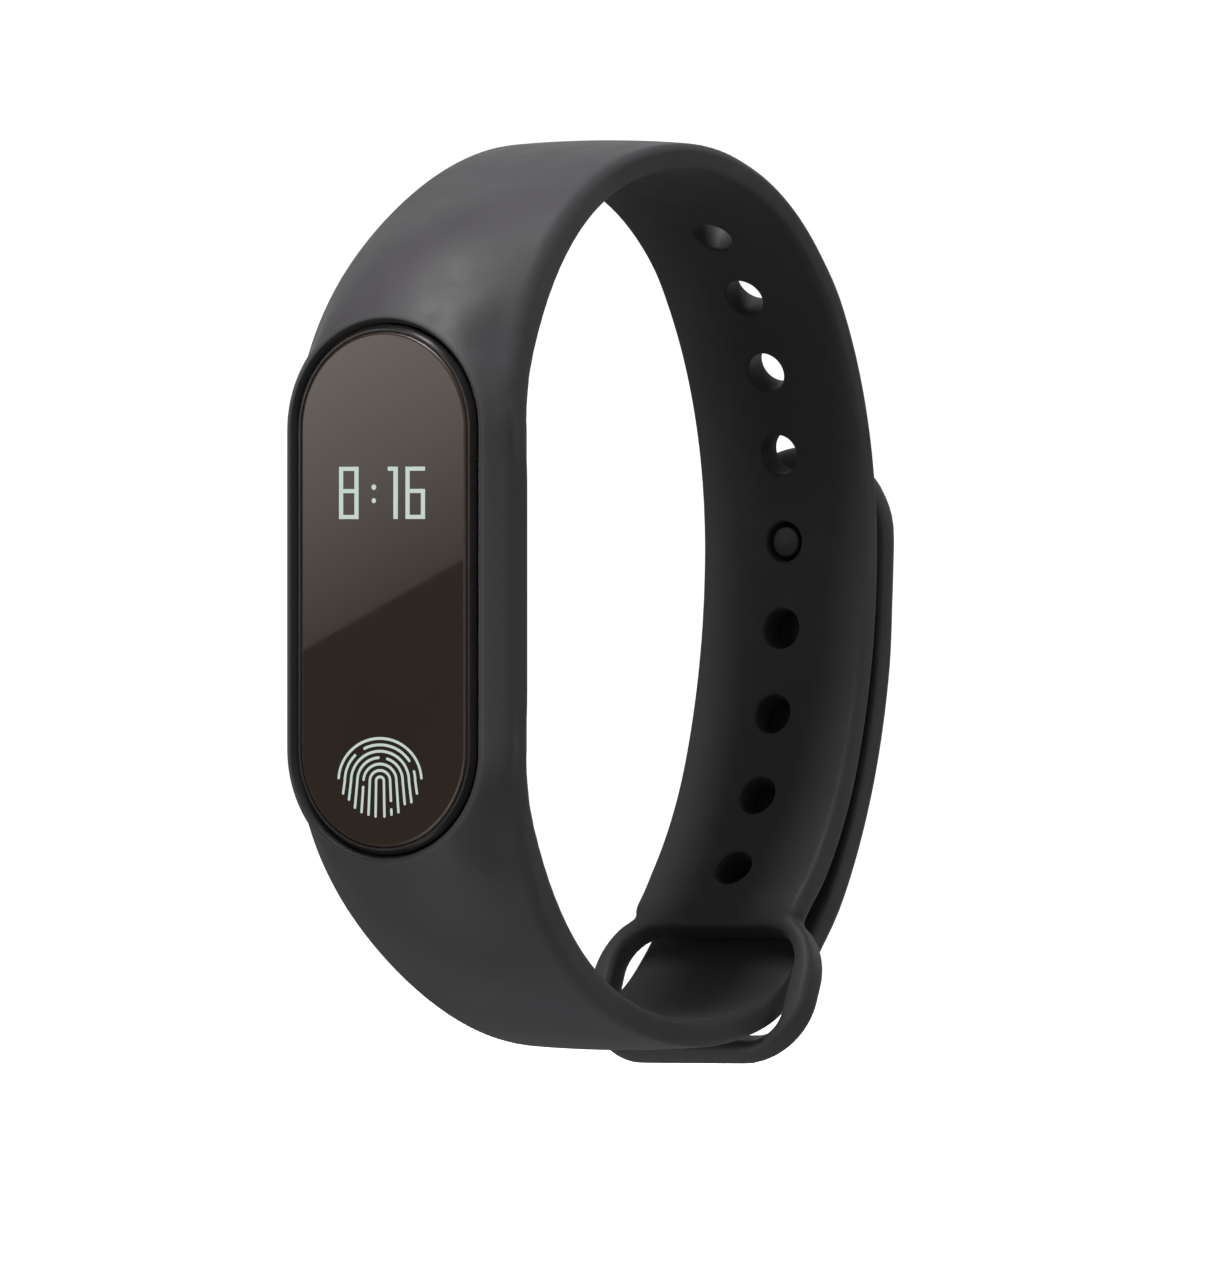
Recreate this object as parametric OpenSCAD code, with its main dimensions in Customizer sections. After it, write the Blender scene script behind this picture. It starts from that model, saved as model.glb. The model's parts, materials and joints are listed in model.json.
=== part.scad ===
// Fitness tracker band: a one-piece silicone strap that carries a capsule-shaped tracker.
// Origin at the centre of the wrist opening, +Y along the wrist, +Z up, the tracker faces -X.

/* [Tracker] */
// Length of the tracker case
core_len = 40.2; // [39.8:0.1:40.6]
// Width of the tracker case
core_w = 15.9; // [15.7:0.1:16.0]
// Distance from the wrist centre to the glass face
face_x = 31.6; // [31.5:0.05:31.7]
// Thickness of the tracker, from the glass to the back
core_t = 10.5; // [10.4:0.1:10.8]
// Thickness of the front glass
glass_t = 0.9; // [0.8:0.05:0.9]
// Width of the case rim that frames the glass
rim_w = 0.5; // [0.45:0.05:0.55]

/* [Pocket] */
// Width of the strap around the tracker
pocket_w = 19.6; // [19.4:0.1:20.0]
// Clearance around the tracker in its pocket
pocket_gap = 0.1; // [0.08:0.01:0.12]
// Height of the pocket's lip above its side walls
lip_h = 1.9; // [1.8:0.1:2.0]

/* [Strap] */
// Width of the strap
strap_w = 14.7; // [14.3:0.1:14.8]
// Thickness of the strap
strap_t = 2.1; // [2.0:0.05:2.1]
// Diameter of the adjustment holes
hole_d = 3.1; // [3.0:0.05:3.4]
// Distance between adjustment holes
hole_pitch = 6.7; // [6.6:0.05:6.8]
// Number of adjustment holes
hole_count = 9; // [7:1:9]

/* [Loop] */
// Width of the loop that the free end passes through
loop_w = 19.6; // [19.4:0.1:20.0]
// Height of the loop, along the strap
loop_h = 12; // [11.8:0.1:12.2]
// Thickness of the loop
loop_t = 2.6; // [2.4:0.1:2.8]

/* [Clasp] */
// Diameter of the stud that snaps into a hole
stud_d = 2.6; // [2.4:0.05:2.6]

/* [Hidden] */
$fn = 64;

// The strap's skin side at the tracker, and the straight run each way from its middle
skin_x = -26.3;
straight_run = 10.3;
pocket_t = 3.2;
// Arcs [radius, angle] of the skin side: over the top to the loop, and under to the free end
upper_path = [[17, 35], [29, 75], [22.5, 40], [35, 30], [48, 20], [30, 25], [-3, -21]];
lower_path = [[16.5, 35], [31.5, 45], [34, 25], [11.5, 25], [32, 20], [46, 25], [110, 10]];
// Arc lengths, from the tracker's middle, where the free end's bending stretches begin
tail_root_s = 71.5;
tail_mid_s = 85;
ring_step = 2.6;
edge_r = 0.7;
// The hole that the stud sits in, counted from the top, and its place on the upper path
stud_hole = 5;
stud_hole_s = 92.2;
// Top of the loop's window, and the thickness of its lower bar on the skin side and outside
loop_top = 1.3;
loop_bar = 1.2;
loop_bar_out = 3.0;

// Stack of the tracker, from the glass back
x_face = -face_x;
x_back = x_face + core_t;
x_glass = x_face + glass_t;
x_ledge = x_glass + 0.15;
x_board = x_face + 2.5;
board_t = 0.7;
x_chips = x_board + board_t;
x_seal = x_face + 3.25;
seal_t = 0.25;
x_flange = x_face + 4.3;
x_battery = x_face + 4.4;
battery_t = 3.4;
x_sensor = x_face + 8.0;
back_wall = 1.2;
cap_z = (core_len - core_w) / 2;
case_r = core_w / 2;
glass_r = case_r - rim_w - 0.05;
inner_r = case_r - 0.8;
back_r = case_r - 0.75;
pocket_r = case_r + pocket_gap;
slack = 0.05;
motor_z = 13.6;
motor_r = 4.0;
contact_y = 3.2;
contact_z = -14.8;
lens_r = 3.6;
screw_z = 18.0;

// ---- Path and sweep -------------------------------------------------------------------

function smooth(a, b, v) = let (u = min(1, max(0, (v - a) / (b - a)))) u * u * (3 - 2 * u);
function seg_len(g) = g[0] * g[1] * PI / 180;
function turn(p, r, a) = [p[0] + r * (cos(p[2]) - cos(p[2] + a)),
                          p[1] + r * (sin(p[2] + a) - sin(p[2])), p[2] + a];
// Station [x, z, heading] at a distance s beyond the straight run
function walk(path, s, i = 0, p = [skin_x, straight_run, 0]) =
    s < 0 ? [skin_x, straight_run + s, 0]
    : i == len(path) - 1 || s <= seg_len(path[i]) ? turn(p, path[i][0], s / path[i][0] * 180 / PI)
    : walk(path, s - seg_len(path[i]), i + 1, turn(p, path[i][0], path[i][1]));
function station(path, s) = walk(path, s - straight_run);
function path_len(path, i = 0) =
    i == len(path) ? straight_run : seg_len(path[i]) + path_len(path, i + 1);

// Half width, edge thickness and crown of the strap at a distance s from the tracker
function half_w(s) = strap_w / 2 + (pocket_w - strap_w) / 2 * (1 - smooth(8, 42, s));
function edge_t(s) = strap_t + (pocket_t - strap_t) * (1 - smooth(20, 47, s));
function crown(s) = 0.25 + 3.5 * smooth(10.5, 17.5, s) * (1 - smooth(17.5, 36, s));

// Cross-section points [across, out from the skin side]
function half_section(w, t, c) =
    [[w - edge_r, 0], [w - 0.3 * edge_r, 0.3 * edge_r], [w, edge_r], [w, t - edge_r],
     [w - 0.3 * edge_r, t - 0.3 * edge_r], [w - 1.1 * edge_r, t + 0.1 * c],
     [0.72 * w, t + 0.48 * c], [0.38 * w, t + 0.86 * c]];
function section(w, t, c) = let (h = half_section(w, t, c), n = len(h))
    concat(h, [[0, t + c]], [for (i = [n - 1:-1:0]) [-h[i][0], h[i][1]]]);
function ring_at(path, side, s) =
    let (p = station(path, s), nx = -cos(p[2]), nz = side * sin(p[2]))
    [for (q = section(half_w(s), edge_t(s), crown(s)))
        [p[0] + nx * q[1], q[0], side * p[1] + nz * q[1]]];
function rings(path, side, s0, s1) = let (n = ceil((s1 - s0) / ring_step))
    [for (i = [0:n]) ring_at(path, side, s0 + (s1 - s0) * i / n)];

// Solid through a list of rings, closed with flat ends
module sweep(list) {
    n = len(list);
    m = len(list[0]);
    points = [for (ring = list) each ring];
    sides = [for (i = [0:n - 2], j = [0:m - 1]) let (k = (j + 1) % m)
        each [[i * m + j, i * m + k, (i + 1) * m + k], [i * m + j, (i + 1) * m + k, (i + 1) * m + j]]];
    ends = [[for (j = [m - 1:-1:0]) j], [for (j = [0:m - 1]) (n - 1) * m + j]];
    polyhedron(points, concat(sides, ends));
}

// Local frame at a station of the upper path: X along the path, Z out from the skin side
module at(p) translate([p[0], 0, p[1]]) rotate([0, atan2(-cos(p[2]), sin(p[2])), 0]) children();

// ---- Capsule shapes along X -------------------------------------------------------------

// Solid of a capsule outline whose radius follows profile [[radius, x], ...]
module capsule(profile) {
    half_points = [for (p = profile) [p[1], p[0]]];
    back_points = [for (i = [len(profile) - 1:-1:0]) [profile[i][1], -profile[i][0]]];
    linear_extrude(2 * cap_z, center = true) polygon(concat(half_points, back_points));
    for (side = [0, 1]) mirror([0, 0, side]) translate([0, 0, cap_z])
        rotate([90, 0, 90]) rotate_extrude(angle = 180) polygon(concat([[0, profile[0][1]]],
            profile, [[0, profile[len(profile) - 1][1]]]));
}
module capsule_plate(r, x0, x1) capsule([[r, x0], [r, x1]]);
module disc(r, x0, x1, y = 0, z = 0) translate([x0, y, z]) rotate([0, 90, 0]) cylinder(r = r, h = x1 - x0);
module block(x0, x1, w, z0, z1, y = 0) translate([x0, y - w / 2, z0]) cube([x1 - x0, w, z1 - z0]);

// ---- Strap ---------------------------------------------------------------------------------

// Raised lip around the tracker
module lip() {
    side_x = skin_x - pocket_t;
    capsule([[case_r + 0.45, side_x - lip_h], [case_r + 1.15, side_x - 0.75 * lip_h],
             [pocket_w / 2, side_x], [pocket_w / 2, side_x + 0.6]]);
}

// Opening that the tracker drops into from the front, with a ledge at the skin side
module pocket_opening() {
    capsule_plate(pocket_r, x_face - 4, x_flange + 0.05);
    capsule_plate(back_r + pocket_gap, x_face, skin_x + 4);
    capsule([[case_r + 0.4, skin_x - pocket_t - lip_h - 0.01], [pocket_r, skin_x - pocket_t - lip_h + 0.5]]);
}

module hole_cutter(s) at(station(upper_path, s)) translate([0, 0, -2])
    cylinder(d = hole_d, h = strap_t + 4);

// Rounded rectangle from (x0, -w/2) to (x1, w/2), with corner radius r0 at x0 and r1 at x1
module rounded(x0, x1, w, r0, r1) hull() for (side = [-1, 1]) {
    translate([x0 + r0, side * (w / 2 - r0)]) circle(r0);
    translate([x1 - r1, side * (w / 2 - r1)]) circle(r1);
}

// Outline of the loop's window, with its floor at x1
function corner(x, y, r, a) = [for (i = [0:10]) [x + r * cos(a + 9 * i), y + r * sin(a + 9 * i)]];
function window_outline(x1) = let (y = loop_w / 2 - 1.8) concat(
    corner(x1 - 3, y - 3, 3, 0), corner(loop_top + 3.3, y - 3.3, 3.3, 90),
    corner(loop_top + 3.3, 3.3 - y, 3.3, 180), corner(x1 - 3, 3 - y, 3, 270));

// Loop at the end of the holed strap: the floor of its window slopes up to the outside
module loop() at(station(upper_path, path_len(upper_path))) difference() {
    linear_extrude(loop_t) rounded(-0.7, loop_h, loop_w, 5.9, 5.9);
    sweep([for (end = [[loop_t + 0.1, loop_bar_out], [-0.1, loop_bar]])
        [for (p = window_outline(loop_h - end[1])) [p[0], p[1], end[0]]]]);
}

module strap() color([0.30, 0.30, 0.31]) {
    upper_rings = rings(upper_path, 1, 0, path_len(upper_path));
    lower_rings = rings(lower_path, -1, 0, tail_root_s);
    difference() {
        union() {
            sweep(concat([for (i = [len(upper_rings) - 1:-1:1]) upper_rings[i]], lower_rings));
            lip();
            loop();
        }
        pocket_opening();
        for (i = [0:hole_count - 1]) hole_cutter(stud_hole_s + (i + 1 - stud_hole) * hole_pitch);
    }
}

// Free end of the strap, in two lengths that bend at the faces where they meet
module strap_tail_middle() color([0.32, 0.32, 0.33])
    sweep(rings(lower_path, -1, tail_root_s, tail_mid_s));

stud_point = station(upper_path, stud_hole_s);
stud_head_out = 4.0;
module strap_tail_tip() color([0.34, 0.34, 0.35]) difference() {
    intersection() {
        sweep(rings(lower_path, -1, tail_mid_s, path_len(lower_path)));
        union() {
            disc(strap_w / 2 + 0.01, 20, 40, 0, stud_point[1]);
            block(0, 40, strap_w + 1, -40, stud_point[1]);
        }
    }
    at(stud_point) {
        cylinder(d = stud_d, h = stud_head_out);
        translate([0, 0, stud_head_out - 0.7]) cylinder(d = stud_d + 2.4, h = 0.7);
    }
}

module clasp_stud() color([0.12, 0.12, 0.13]) at(stud_point) {
    translate([0, 0, 0.25]) cylinder(d = stud_d, h = stud_head_out - 0.95);
    translate([0, 0, stud_head_out - 0.7]) cylinder(d = stud_d + 2.4, h = 0.7);
}

// ---- Tracker case ----------------------------------------------------------------------------

module front_glass() color([0.16, 0.13, 0.12])
    capsule([[glass_r - 0.25, x_face], [glass_r, x_face + 0.2], [glass_r, x_glass]]);

module glass_adhesive() color([0.05, 0.05, 0.05]) difference() {
    capsule_plate(glass_r - 0.05, x_glass, x_ledge);
    capsule_plate(glass_r - 0.75, x_glass - 1, x_ledge + 1);
}

module upper_case() color([0.10, 0.09, 0.09]) {
    difference() {
        capsule([[case_r - 0.33, x_face + 0.15], [case_r, x_face + 0.6], [case_r, x_seal]]);
        capsule_plate(glass_r + slack, x_face - 1, x_ledge);
        capsule_plate(glass_r - 0.7, x_face - 1, x_ledge + 1);
        capsule_plate(inner_r, x_ledge + 0.55, x_seal + 1);
    }
    // Posts that the board is screwed to
    for (side = [-1, 1]) difference() {
        disc(1.1, x_ledge + 0.05, x_board, 0, side * screw_z);
        disc(0.45, x_ledge + 0.3, x_board + 1, 0, side * screw_z);
    }
}

module case_seal() color([0.16, 0.16, 0.17]) difference() {
    capsule_plate(case_r - 0.1, x_seal, x_seal + seal_t);
    capsule_plate(inner_r + 0.1, x_seal - 1, x_seal + 1);
}

module lower_case() color([0.13, 0.13, 0.14]) difference() {
    capsule([[case_r - 0.05, x_seal + seal_t], [case_r - 0.05, x_flange], [back_r, x_flange],
             [back_r - 0.1, x_back - 1.9], [back_r - 0.45, x_back - 0.7], [back_r - 1.2, x_back]]);
    capsule([[inner_r - 0.2, x_seal - 1], [inner_r - 0.2, x_flange - 0.4], [back_r - 0.8, x_flange],
             [back_r - 0.9, x_back - 2], [back_r - 1.5, x_back - back_wall]]);
    disc(lens_r + slack, x_back - back_wall - 1, x_back + 1);
    for (side = [-1, 1]) disc(0.85, x_back - back_wall - 1, x_back + 1, side * contact_y, contact_z);
}

// ---- Display and touch key -------------------------------------------------------------------

module display_panel() color([0.05, 0.05, 0.07]) block(x_glass + 0.05, x_face + 2.0, 10.8, -8, 15.6);

module display_flex() color([0.55, 0.35, 0.12]) {
    block(x_face + 1.8, x_face + 1.95, 6, -9.6, -8);
    block(x_face + 1.95, x_board, 6, -9.6, -9.45);
}

module touch_electrode() color([0.75, 0.55, 0.30]) disc(3.4, x_glass + 0.05, x_glass + 0.2, 0, -14);

// ---- Electronics ---------------------------------------------------------------------------------

module main_board() color([0.05, 0.30, 0.16]) difference() {
    capsule_plate(inner_r - 0.2, x_board, x_chips);
    for (side = [-1, 1]) disc(0.5, x_board - 1, x_chips + 1, 0, side * screw_z);
}

module board_screws() color([0.70, 0.70, 0.72]) for (side = [-1, 1]) {
    disc(0.42, x_board - 0.5, x_chips, 0, side * screw_z);
    disc(0.9, x_chips, x_chips + 0.45, 0, side * screw_z);
}

module chip(w, l, h, y, z) block(x_chips, x_chips + h, w, z - l / 2, z + l / 2, y);
module bluetooth_chip() color([0.08, 0.08, 0.08]) chip(5, 5, 0.8, -0.6, 3.5);
module charger_chip() color([0.10, 0.10, 0.11]) chip(2.2, 2.2, 0.7, 3.4, -5.2);
module motion_sensor() color([0.22, 0.22, 0.24]) chip(2.4, 2.4, 0.8, -3.2, -4.2);
module timing_crystal() color([0.78, 0.78, 0.76]) chip(1.6, 3.2, 0.7, 4.2, 2.4);
module chip_capacitors() color([0.72, 0.58, 0.42])
    for (i = [0:3], y = [-5.0, 5.9]) chip(0.5, 1.0, 0.5, y, i * 2.0 - 1.5);
module antenna() color([0.86, 0.84, 0.80]) chip(6, 1.2, 0.7, 0, 15.6);

// ---- Battery ---------------------------------------------------------------------------------------

module battery_foam() color([0.20, 0.20, 0.20]) block(x_battery - 0.25, x_battery, 9, -10, 8.4);
module battery_cell() color([0.72, 0.73, 0.75]) block(x_battery, x_battery + battery_t, 10.4, -10.4, 8.8);
module battery_leads() color([0.70, 0.10, 0.08]) for (side = [-1, 1]) {
    disc(0.3, x_chips, x_battery + 1.7, side * 1.2, -11.3);
    translate([x_battery + 1.7, side * 1.2, -11.3]) {
        sphere(r = 0.3);
        cylinder(r = 0.3, h = 0.9);
    }
}

// ---- Vibration motor -----------------------------------------------------------------------------

motor_x = x_battery;
module motor_case() color([0.80, 0.80, 0.82]) difference() {
    disc(motor_r, motor_x, motor_x + 2.6, 0, motor_z);
    disc(motor_r - 0.25, motor_x + 0.25, motor_x + 3, 0, motor_z);
}
module motor_base() color([0.60, 0.60, 0.62]) disc(motor_r, motor_x + 2.6, motor_x + 2.8, 0, motor_z);
module motor_shaft() color([0.85, 0.85, 0.86]) disc(0.4, motor_x + 0.25, motor_x + 2.6, 0, motor_z);
module motor_magnet() color([0.35, 0.35, 0.38]) difference() {
    disc(3.2, motor_x + 2.05, motor_x + 2.6, 0, motor_z);
    disc(1.3, motor_x, motor_x + 3, 0, motor_z);
}
module motor_rotor() color([0.55, 0.50, 0.42]) difference() {
    union() {
        intersection() {
            disc(3.4, motor_x + 0.5, motor_x + 1.8, 0, motor_z);
            block(motor_x, motor_x + 2, 8, motor_z, motor_z + 4);
        }
        disc(1.2, motor_x + 0.5, motor_x + 1.8, 0, motor_z);
    }
    disc(0.44, motor_x, motor_x + 3, 0, motor_z);
}

// ---- Heart rate sensor and charging contacts ------------------------------------------------

module sensor_board() color([0.05, 0.26, 0.18]) block(x_sensor, x_sensor + 0.5, 8.2, -6, 6);
module sensor_flex() color([0.55, 0.35, 0.12]) {
    block(x_sensor + 0.1, x_sensor + 0.25, 2.6, -11.2, -6, 3.4);
    block(x_chips, x_sensor + 0.1, 2.6, -11.2, -11.05, 3.4);
}
module green_leds() color([0.35, 0.85, 0.45])
    for (side = [-1, 1]) block(x_sensor + 0.5, x_sensor + 0.9, 1.6, side * 2.3 - 0.6, side * 2.3 + 0.6);
module photodiode() color([0.10, 0.10, 0.12]) block(x_sensor + 0.5, x_sensor + 0.9, 1.8, -0.9, 0.9);
module light_barrier() color([0.03, 0.03, 0.03])
    for (side = [-1, 1]) block(x_sensor + 0.5, x_sensor + 0.95, 4, side * 1.35 - 0.2, side * 1.35 + 0.2);
module sensor_lens() color([0.20, 0.22, 0.22]) {
    disc(lens_r, x_back - back_wall, x_back);
    disc(lens_r + 0.5, x_back - back_wall - 0.25, x_back - back_wall);
}
module charge_contacts() color([0.85, 0.68, 0.30]) for (side = [-1, 1]) {
    disc(0.8, x_back - back_wall, x_back, side * contact_y, contact_z);
    disc(1.2, x_back - back_wall - 0.4, x_back - back_wall, side * contact_y, contact_z);
}
module contact_springs() color([0.80, 0.66, 0.36]) for (side = [-1, 1])
    disc(0.5, x_chips, x_back - back_wall - 0.4, side * contact_y, contact_z);

strap();
strap_tail_middle();
strap_tail_tip();
clasp_stud();
front_glass();
glass_adhesive();
upper_case();
case_seal();
lower_case();
display_panel();
display_flex();
touch_electrode();
main_board();
board_screws();
bluetooth_chip();
charger_chip();
motion_sensor();
timing_crystal();
chip_capacitors();
antenna();
battery_foam();
battery_cell();
battery_leads();
motor_case();
motor_base();
motor_magnet();
motor_shaft();
motor_rotor();
sensor_board();
sensor_flex();
green_leds();
photodiode();
light_barrier();
sensor_lens();
charge_contacts();
contact_springs();
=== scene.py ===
# Looks of the fitness tracker band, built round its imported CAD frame. Lengths are millimetres, and
# a mesh is scaled to metres when it is made; the last section, stage and camera, is in metres.
import json
import math
import bmesh
import bpy
from mathutils import Matrix, Vector


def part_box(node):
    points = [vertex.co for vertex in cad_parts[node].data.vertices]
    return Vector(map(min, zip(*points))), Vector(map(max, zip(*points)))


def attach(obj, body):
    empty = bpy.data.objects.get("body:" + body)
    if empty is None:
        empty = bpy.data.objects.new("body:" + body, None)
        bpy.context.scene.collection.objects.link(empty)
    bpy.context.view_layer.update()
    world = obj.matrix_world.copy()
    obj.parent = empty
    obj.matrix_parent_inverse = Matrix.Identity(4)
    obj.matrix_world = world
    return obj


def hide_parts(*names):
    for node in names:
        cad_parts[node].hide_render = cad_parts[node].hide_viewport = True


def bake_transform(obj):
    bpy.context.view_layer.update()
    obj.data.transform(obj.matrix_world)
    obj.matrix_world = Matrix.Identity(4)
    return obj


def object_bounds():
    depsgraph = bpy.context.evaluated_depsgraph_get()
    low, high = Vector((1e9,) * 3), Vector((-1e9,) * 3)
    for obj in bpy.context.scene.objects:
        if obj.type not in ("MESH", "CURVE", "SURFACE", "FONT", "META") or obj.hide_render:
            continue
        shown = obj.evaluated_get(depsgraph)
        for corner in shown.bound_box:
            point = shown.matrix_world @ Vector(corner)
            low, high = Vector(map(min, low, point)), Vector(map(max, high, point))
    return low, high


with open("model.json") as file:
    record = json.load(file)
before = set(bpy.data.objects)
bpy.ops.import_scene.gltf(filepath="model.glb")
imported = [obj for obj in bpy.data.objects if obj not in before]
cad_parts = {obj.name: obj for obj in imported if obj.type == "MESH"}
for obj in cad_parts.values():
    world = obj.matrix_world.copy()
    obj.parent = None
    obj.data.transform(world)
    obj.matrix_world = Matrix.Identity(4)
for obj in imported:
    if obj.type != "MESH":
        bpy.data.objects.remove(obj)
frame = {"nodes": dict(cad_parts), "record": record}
cad_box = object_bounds()
MM = 0.001
nodes = frame["nodes"]


def box_mm(node):
    low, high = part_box(node)
    return low / MM, high / MM


# ---- Sizes read from the frame ---------------------------------------------------------------

GLASS_LOW, GLASS_HIGH = box_mm("front_glass")
CASE_HIGH = box_mm("upper_case")[1]
FACE_X = GLASS_LOW.x
GLASS_R = GLASS_HIGH.y
CAP_Z = CASE_HIGH.z - CASE_HIGH.y
STRAP_HALF = box_mm("strap_tail_middle")[1].y
POCKET_HALF = box_mm("strap")[1].y

# ---- Sizes that the frame's boxes don't give ---------------------------------------------------

# Thickness of the plain strap and of its thick part round the tracker, and the skin edge's radius
STRAP_T = 2.1
POCKET_T = 3.2
EDGE_R = 0.42

# The row of holes; the stud sits in one of them, STUD_HOLE_S along the path
HOLE_R = 1.55
HOLE_PITCH = 6.7
HOLE_COUNT = 9
STUD_HOLE = 4
STUD_HOLE_S = 92.2

# The strap's skin side as arcs (radius, angle) from the end of its straight run at the tracker
SKIN_X = -26.3
STRAIGHT_RUN = 10.3
UPPER_PATH = [(17, 35), (29, 75), (22.5, 40), (35, 30), (48, 20), (30, 25), (-3, -21)]
LOWER_PATH = [(16.5, 35), (31.5, 45), (34, 25), (11.5, 25), (32, 20), (46, 25), (110, 10)]
# How far the worn-in strap pulls in at its top and bottom
PULL = 0.4
# Where the tail begins on the lower path, and where it is split into its two pieces
SEAM_S = 66.0
TAIL_SPLIT_S = 78.2

# The tracker's seat in the strap: SIDE_X is the outer face beside it, LIP_X the top of the lip round
# the window, SEAT_R its wall, and the shelf under the case runs inwards from there to SHELF_R
SIDE_X = SKIN_X - POCKET_T
LIP_X = SIDE_X - 1.9
SEAT_R = 8.05
SHELF_X = -27.25
SHELF_R = 7.3

# Grid that melts shells into one skin, and the share of its triangles that is kept
VOXEL = 0.175
KEPT_SHARE = 0.28


# ---- Path and sections ------------------------------------------------------------------------

def smooth(a, b, v):
    u = min(1.0, max(0.0, (v - a) / (b - a)))
    return u * u * (3 - 2 * u)


def arc_length(arc):
    return math.radians(arc[0] * arc[1])


def path_length(path):
    return STRAIGHT_RUN + sum(arc_length(arc) for arc in path)


def turn(x, z, heading, radius, angle):
    """Point and heading after one arc of the path."""
    a, b = math.radians(heading), math.radians(heading + angle)
    dx, dz = radius * (math.cos(a) - math.cos(b)), radius * (math.sin(b) - math.sin(a))
    return x + dx, z + dz, heading + angle


def station(path, s):
    """Point x, z of the skin side and its heading, a distance s from the tracker's middle."""
    x, z, heading = walk(path, s)
    return x, z - math.copysign(PULL * smooth(12, 32, abs(z)), z), heading


def walk(path, s):
    """The same for the strap as moulded, before it is worn in."""
    place = (SKIN_X, STRAIGHT_RUN, 0.0)
    s -= STRAIGHT_RUN
    if s < 0:
        return SKIN_X, STRAIGHT_RUN + s, 0.0
    for arc in path:
        if arc is path[-1] or s <= arc_length(arc):
            return turn(*place, arc[0], math.degrees(s / arc[0]))
        s -= arc_length(arc)
        place = turn(*place, *arc)


def frame_at(path, side, s):
    """Matrix of a station: X along the path, Z out from the skin side, origin on the skin."""
    x, z, heading = station(path, s)
    c, n = math.cos(math.radians(heading)), math.sin(math.radians(heading))
    along, out = Vector((n, 0, side * c)), Vector((-c, 0, side * n))
    across = out.cross(along)
    m = Matrix((along, across, out)).transposed().to_4x4()
    m.translation = Vector((x, 0, side * z))
    return m


def half_width(s):
    """Half the strap's width: wide at the tracker, a little squeezed where the loop holds it."""
    squeezed = 0.15 * smooth(53, 58, s) * (1 - smooth(69, 74, s))
    return STRAP_HALF - squeezed + (POCKET_HALF - STRAP_HALF) * (1 - smooth(8, 42, s))


def edge_thickness(s):
    return STRAP_T + (POCKET_T - STRAP_T) * (1 - smooth(20, 47, s))


def crown(s):
    """How far the outer face's middle stands above its edges."""
    return 0.25 + 3.5 * smooth(10.5, 17.5, s) * (1 - smooth(17.5, 36, s))


def section(w, t, c, corner=7, across=24):
    """Closed cross-section [y, height above the skin side]: round edges that run into a crown."""
    r = 0.48 + 0.8 * (t - STRAP_T)
    b, tilt = w - r, 0.0
    for _ in range(4):
        tilt = math.atan(2 * c / b)
        b = w - r + r * math.sin(tilt)
    points = []
    for k in range(corner + 1):
        a = math.radians(-90 + 90 * k / corner)
        points.append((w - EDGE_R + EDGE_R * math.cos(a), EDGE_R + EDGE_R * math.sin(a)))
    for k in range(corner + 1):
        a = (math.pi / 2 - tilt) * k / corner
        points.append((w - r + r * math.cos(a), t - r * math.cos(tilt) + r * math.sin(a)))
    side = points[:]
    for k in range(1, across):
        y = b * (1 - 2 * k / across)
        points.append((y, t + c * (1 - (y / b) ** 2)))
    points += [(-y, h) for y, h in reversed(side)]
    flat = w - EDGE_R
    points += [(-flat * (1 - 2 * k / across), 0.0) for k in range(1, across)]
    return points


def soft_max(a, b, reach):
    """The larger of two values, blended where they are closer than reach."""
    h = max(reach - abs(a - b), 0.0) / reach
    return max(a, b) + h * h * reach / 4


def fill_to_lip(p):
    """Raises a point of the outer skin beyond the window's ends, so the lip grows out of the strap."""
    beyond = abs(p.z) - CAP_Z
    if p.x > -22 or beyond <= 0:
        return p
    r = math.hypot(p.y, beyond)
    run = max(r - 8.9, 0.0)
    slope = 0.7 + 1.3 * (1 - smooth(0.52, 0.84, beyond / r))
    skirt = LIP_X + 0.35 + slope * run + 0.16 * run * run
    return Vector((-soft_max(-p.x, -skirt, 0.7), p.y, p.z))


def ring_points(path, side, s):
    """Cross-section ring of the strap at a station."""
    m = frame_at(path, side, s)
    t = edge_thickness(s)
    points = [(m @ Vector((0, y * side, h)), h) for y, h in section(half_width(s), t, crown(s))]
    return [fill_to_lip(p) if h > 0.8 * t and s < 32 else p for p, h in points]


# ---- Mesh making ----------------------------------------------------------------------------------

def new_object(name, verts, faces):
    """Object of a mesh given in millimetres, with its faces turned outwards."""
    mesh = bpy.data.meshes.new(name)
    mesh.from_pydata([tuple(Vector(v) * MM) for v in verts], [], faces)
    obj = bpy.data.objects.new(name, mesh)
    bpy.context.scene.collection.objects.link(obj)
    clean(obj)
    return obj


def clean(obj):
    """Welds doubled vertices and turns the faces outwards."""
    bm = bmesh.new()
    bm.from_mesh(obj.data)
    bmesh.ops.remove_doubles(bm, verts=bm.verts, dist=1e-7)
    bmesh.ops.recalc_face_normals(bm, faces=bm.faces)
    bm.to_mesh(obj.data)
    bm.free()


def loft(name, rings, closed=False):
    """Solid through rings of equal length, with flat ends unless it closes on itself."""
    n, m = len(rings), len(rings[0])
    verts = [v for ring in rings for v in ring]
    last = n if closed else n - 1
    faces = [(i * m + j, i * m + (j + 1) % m, ((i + 1) % n) * m + (j + 1) % m, ((i + 1) % n) * m + j)
             for i in range(last) for j in range(m)]
    if not closed:
        faces += [tuple(range(m)), tuple((n - 1) * m + j for j in reversed(range(m)))]
    return new_object(name, verts, faces)


def capsule_outline(r, x, steps):
    """Capsule outline of radius r round the tracker's long axis, in the plane x."""
    points = []
    for side in (1, -1):
        for i in range(steps + 1):
            a = math.pi * i / steps
            points.append((x, side * r * math.cos(a), side * (CAP_Z + r * math.sin(a))))
    return points


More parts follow.
